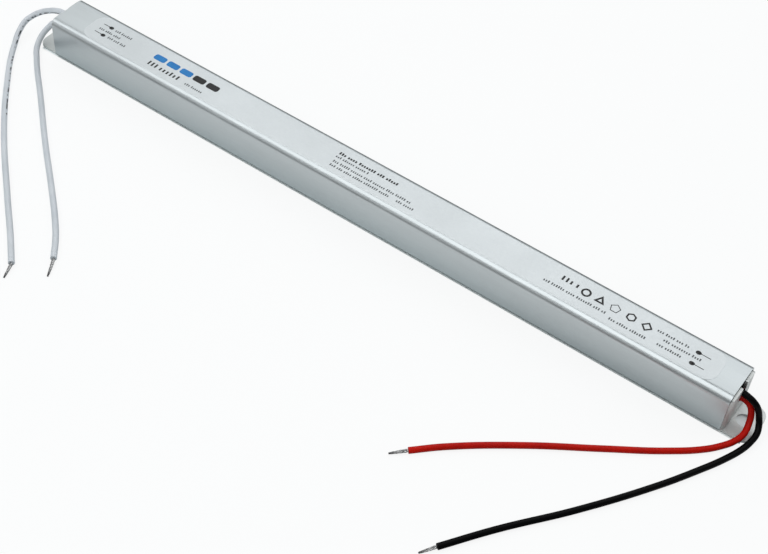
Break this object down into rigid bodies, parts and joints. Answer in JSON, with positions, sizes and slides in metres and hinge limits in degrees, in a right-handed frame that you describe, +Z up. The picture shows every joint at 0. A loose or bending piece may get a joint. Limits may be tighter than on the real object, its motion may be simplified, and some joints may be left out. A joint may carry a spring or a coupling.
{
  "type": "led driver",
  "caption": "Slim bar-shaped LED driver: folded aluminium housing with a drilled fixing ear at each end, white input wires and red and black output wires.",
  "frame": {"origin": "middle of the housing's underside, on the standing surface", "axes": "+X along the bar towards the output end, +Z up out of the top face"},
  "size_m": [0.3354, 0.1183, 0.0185],
  "materials": {
    "cover_aluminium": "satin",
    "base_aluminium": "satin",
    "insulating_film": "matt",
    "board_laminate": "satin",
    "silicone_pad": "matt",
    "solder": "bright",
    "fuse_case": "matt",
    "varistor_coating": "gloss",
    "thermistor_coating": "matt",
    "film_capacitor_case": "satin",
    "black_epoxy": "matt",
    "black_nylon": "satin",
    "ferrite": "matt",
    "enamelled_copper": "gloss",
    "capacitor_can": "satin",
    "capacitor_sleeve": "gloss",
    "winding_tape": "satin",
    "disc_coating": "satin",
    "chip_ceramic": "matt",
    "white_insulation": "satin",
    "red_insulation": "satin",
    "black_insulation": "satin",
    "tinned_strand": "bright"
  },
  "bodies": {
    "root": {"housing_cover": "cover_aluminium", "base_channel": "base_aluminium", "insulation_sleeve": "insulating_film", "circuit_board": "board_laminate", "thermal_pads": "silicone_pad", "solder_fillets": "solder", "input_joints": "solder", "output_joints": "solder", "fuse": "fuse_case", "surge_varistor": "varistor_coating", "inrush_thermistor": "thermistor_coating", "x_capacitor": "film_capacitor_case", "choke_base": "black_nylon", "choke_core": "ferrite", "choke_windings": "enamelled_copper", "bridge_rectifier": "black_epoxy", "bulk_cap_cans": "capacitor_can", "bulk_cap_sleeves": "capacitor_sleeve", "switching_transistor": "black_epoxy", "controller_chip": "black_epoxy", "transformer_core": "ferrite", "transformer_bobbin": "black_nylon", "transformer_winding": "winding_tape", "y_capacitor": "disc_coating", "optocoupler": "black_epoxy", "output_rectifier": "black_epoxy", "output_cap_cans": "capacitor_can", "output_cap_sleeves": "capacitor_sleeve", "output_choke_core": "ferrite", "output_choke_winding": "enamelled_copper", "chip_resistors": "black_epoxy", "chip_capacitors": "chip_ceramic", "line_wire": "white_insulation", "neutral_wire": "white_insulation", "positive_wire": "red_insulation", "negative_wire": "black_insulation", "line_wire_tip": "tinned_strand", "neutral_wire_tip": "tinned_strand", "positive_wire_tip": "tinned_strand", "negative_wire_tip": "tinned_strand"}
  },
  "joints": []
}
